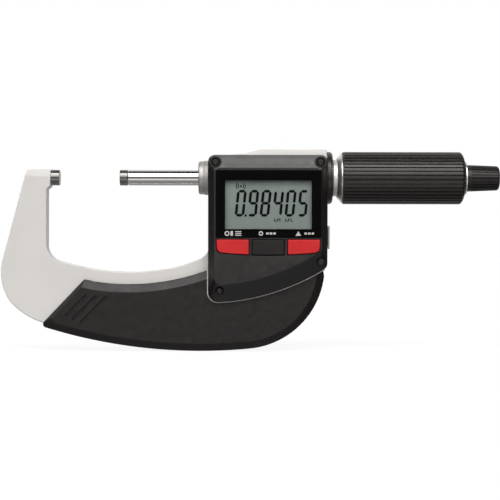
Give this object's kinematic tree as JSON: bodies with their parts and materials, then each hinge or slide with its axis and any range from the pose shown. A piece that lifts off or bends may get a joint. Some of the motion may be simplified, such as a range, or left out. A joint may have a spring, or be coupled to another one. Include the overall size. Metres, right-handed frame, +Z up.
{
  "type": "outside micrometer",
  "caption": "Digital outside micrometer with a C-shaped frame, a display housing with keys, heat-insulating grips, a ribbed thimble and a ratchet knob.",
  "frame": {"origin": "centre of the anvil's measuring face", "axes": "+X along the spindle from anvil to thimble, +Z up out of the throat, the display faces -Y"},
  "size_m": [0.2058, 0.0262, 0.0826],
  "materials": {
    "frame_paint": "light warm grey paint, satin, faintly textured",
    "ground_steel": "finely ground and lapped",
    "carbide": "dark lapped carbide",
    "satin_chrome": "satin, turned",
    "polished_chrome": "polished",
    "housing_plastic": "fine moulded grain",
    "grip_plastic": "moulded, satin",
    "black_cover": "black, satin, ribbed where it is gripped",
    "red_key": "soft matte red",
    "black_key": "soft matte black",
    "window_black": "glossy, printed black behind the face",
    "lcd_glass": "grey-green reflective display",
    "circuit_board": "green solder mask",
    "seal_rubber": "matt",
    "brass": "turned",
    "contact_gold": "plated",
    "inner_plastic": "moulded",
    "battery_steel": "pressed steel can",
    "port_cover_grey": "grey moulded",
    "screw_steel": "dark plated steel"
  },
  "bodies": {
    "base": {"adjusting_nut": "ground_steel", "anvil": "ground_steel", "anvil_tip": "carbide", "battery": "battery_steel", "battery_contact_minus": "contact_gold", "battery_contact_plus": "contact_gold", "circuit_board": "circuit_board", "data_port_socket": "inner_plastic", "display_window": "window_black", "encoder_flex_cable": "contact_gold", "encoder_stator": "circuit_board", "frame": "frame_paint", "front_cover": "housing_plastic", "front_cover_screw_1": "screw_steel", "front_cover_screw_2": "screw_steel", "front_cover_screw_3": "screw_steel", "front_cover_screw_4": "screw_steel", "front_gasket": "seal_rubber", "grip_front": "grip_plastic", "grip_rear": "grip_plastic", "grip_screw_1": "screw_steel", "grip_screw_2": "screw_steel", "key_mat": "seal_rubber", "lcd_carrier": "inner_plastic", "lcd_module": "lcd_glass", "lower_contact_strip": "seal_rubber", "rear_cover": "housing_plastic", "rear_cover_screw_1": "screw_steel", "rear_cover_screw_2": "screw_steel", "rear_cover_screw_3": "screw_steel", "rear_cover_screw_4": "screw_steel", "rear_gasket": "seal_rubber", "rotor_thrust_washer": "ground_steel", "sleeve": "satin_chrome", "sleeve_flange": "black_cover", "spindle_guide_bush": "satin_chrome", "spindle_nut": "brass", "spindle_wiper_seal": "seal_rubber", "upper_contact_strip": "seal_rubber"},
    "rotor": {"encoder_rotor": "circuit_board", "rotor_bush": "brass", "rotor_key": "ground_steel"},
    "spindle_group": {"spindle": "ground_steel", "spindle_tip": "carbide", "thimble_core": "polished_chrome", "thimble_front_ring": "polished_chrome", "thimble_cover": "black_cover", "thimble_end_ring": "polished_chrome", "thimble_lock_nut": "ground_steel", "ratchet_stem": "ground_steel", "ratchet_wheel": "ground_steel"},
    "ratchet": {"ratchet_knob": "black_cover", "ratchet_pawl_plate": "brass", "ratchet_spring": "ground_steel"},
    "left_key": {"key_left": "red_key"},
    "middle_key": {"key_middle": "black_key"},
    "right_key": {"key_right": "red_key"},
    "battery_door": {"battery_cover": "black_cover", "battery_cover_seal": "seal_rubber"},
    "port_door": {"data_port_cover": "port_cover_grey"}
  },
  "joints": [
    {"name": "thimble_turn", "type": "hinge", "parent": "base", "child": "rotor", "pos_m": [0.0912, 0, 0], "axis": [1, 0, 0], "range_deg": [0, 18000]},
    {"name": "spindle_travel", "type": "slide", "parent": "rotor", "child": "spindle_group", "axis": [1, 0, 0], "range_m": [0, 0.025]},
    {"name": "ratchet_turn", "type": "hinge", "parent": "spindle_group", "child": "ratchet", "pos_m": [0.1693, 0, 0], "axis": [1, 0, 0], "continuous": true},
    {"name": "battery_cover_turn", "type": "hinge", "parent": "base", "child": "battery_door", "pos_m": [0.087, 0.0098, -0.027], "axis": [0, 1, 0], "range_deg": [0, 60]},
    {"name": "port_cover_pull", "type": "slide", "parent": "base", "child": "port_door", "axis": [1, 0, 0], "range_m": [0, 0.008]},
    {"name": "left_key_press", "type": "slide", "parent": "base", "child": "left_key", "axis": [0, 1, 0], "range_m": [0, 0.0008], "stiffness_N_per_m": 600},
    {"name": "middle_key_press", "type": "slide", "parent": "base", "child": "middle_key", "axis": [0, 1, 0], "range_m": [0, 0.0008], "stiffness_N_per_m": 600},
    {"name": "right_key_press", "type": "slide", "parent": "base", "child": "right_key", "axis": [0, 1, 0], "range_m": [0, 0.0008], "stiffness_N_per_m": 600}
  ],
  "couplings": [
    {"joint": "thimble_turn", "follows": "spindle_travel", "rad_per_m": 12566}
  ]
}
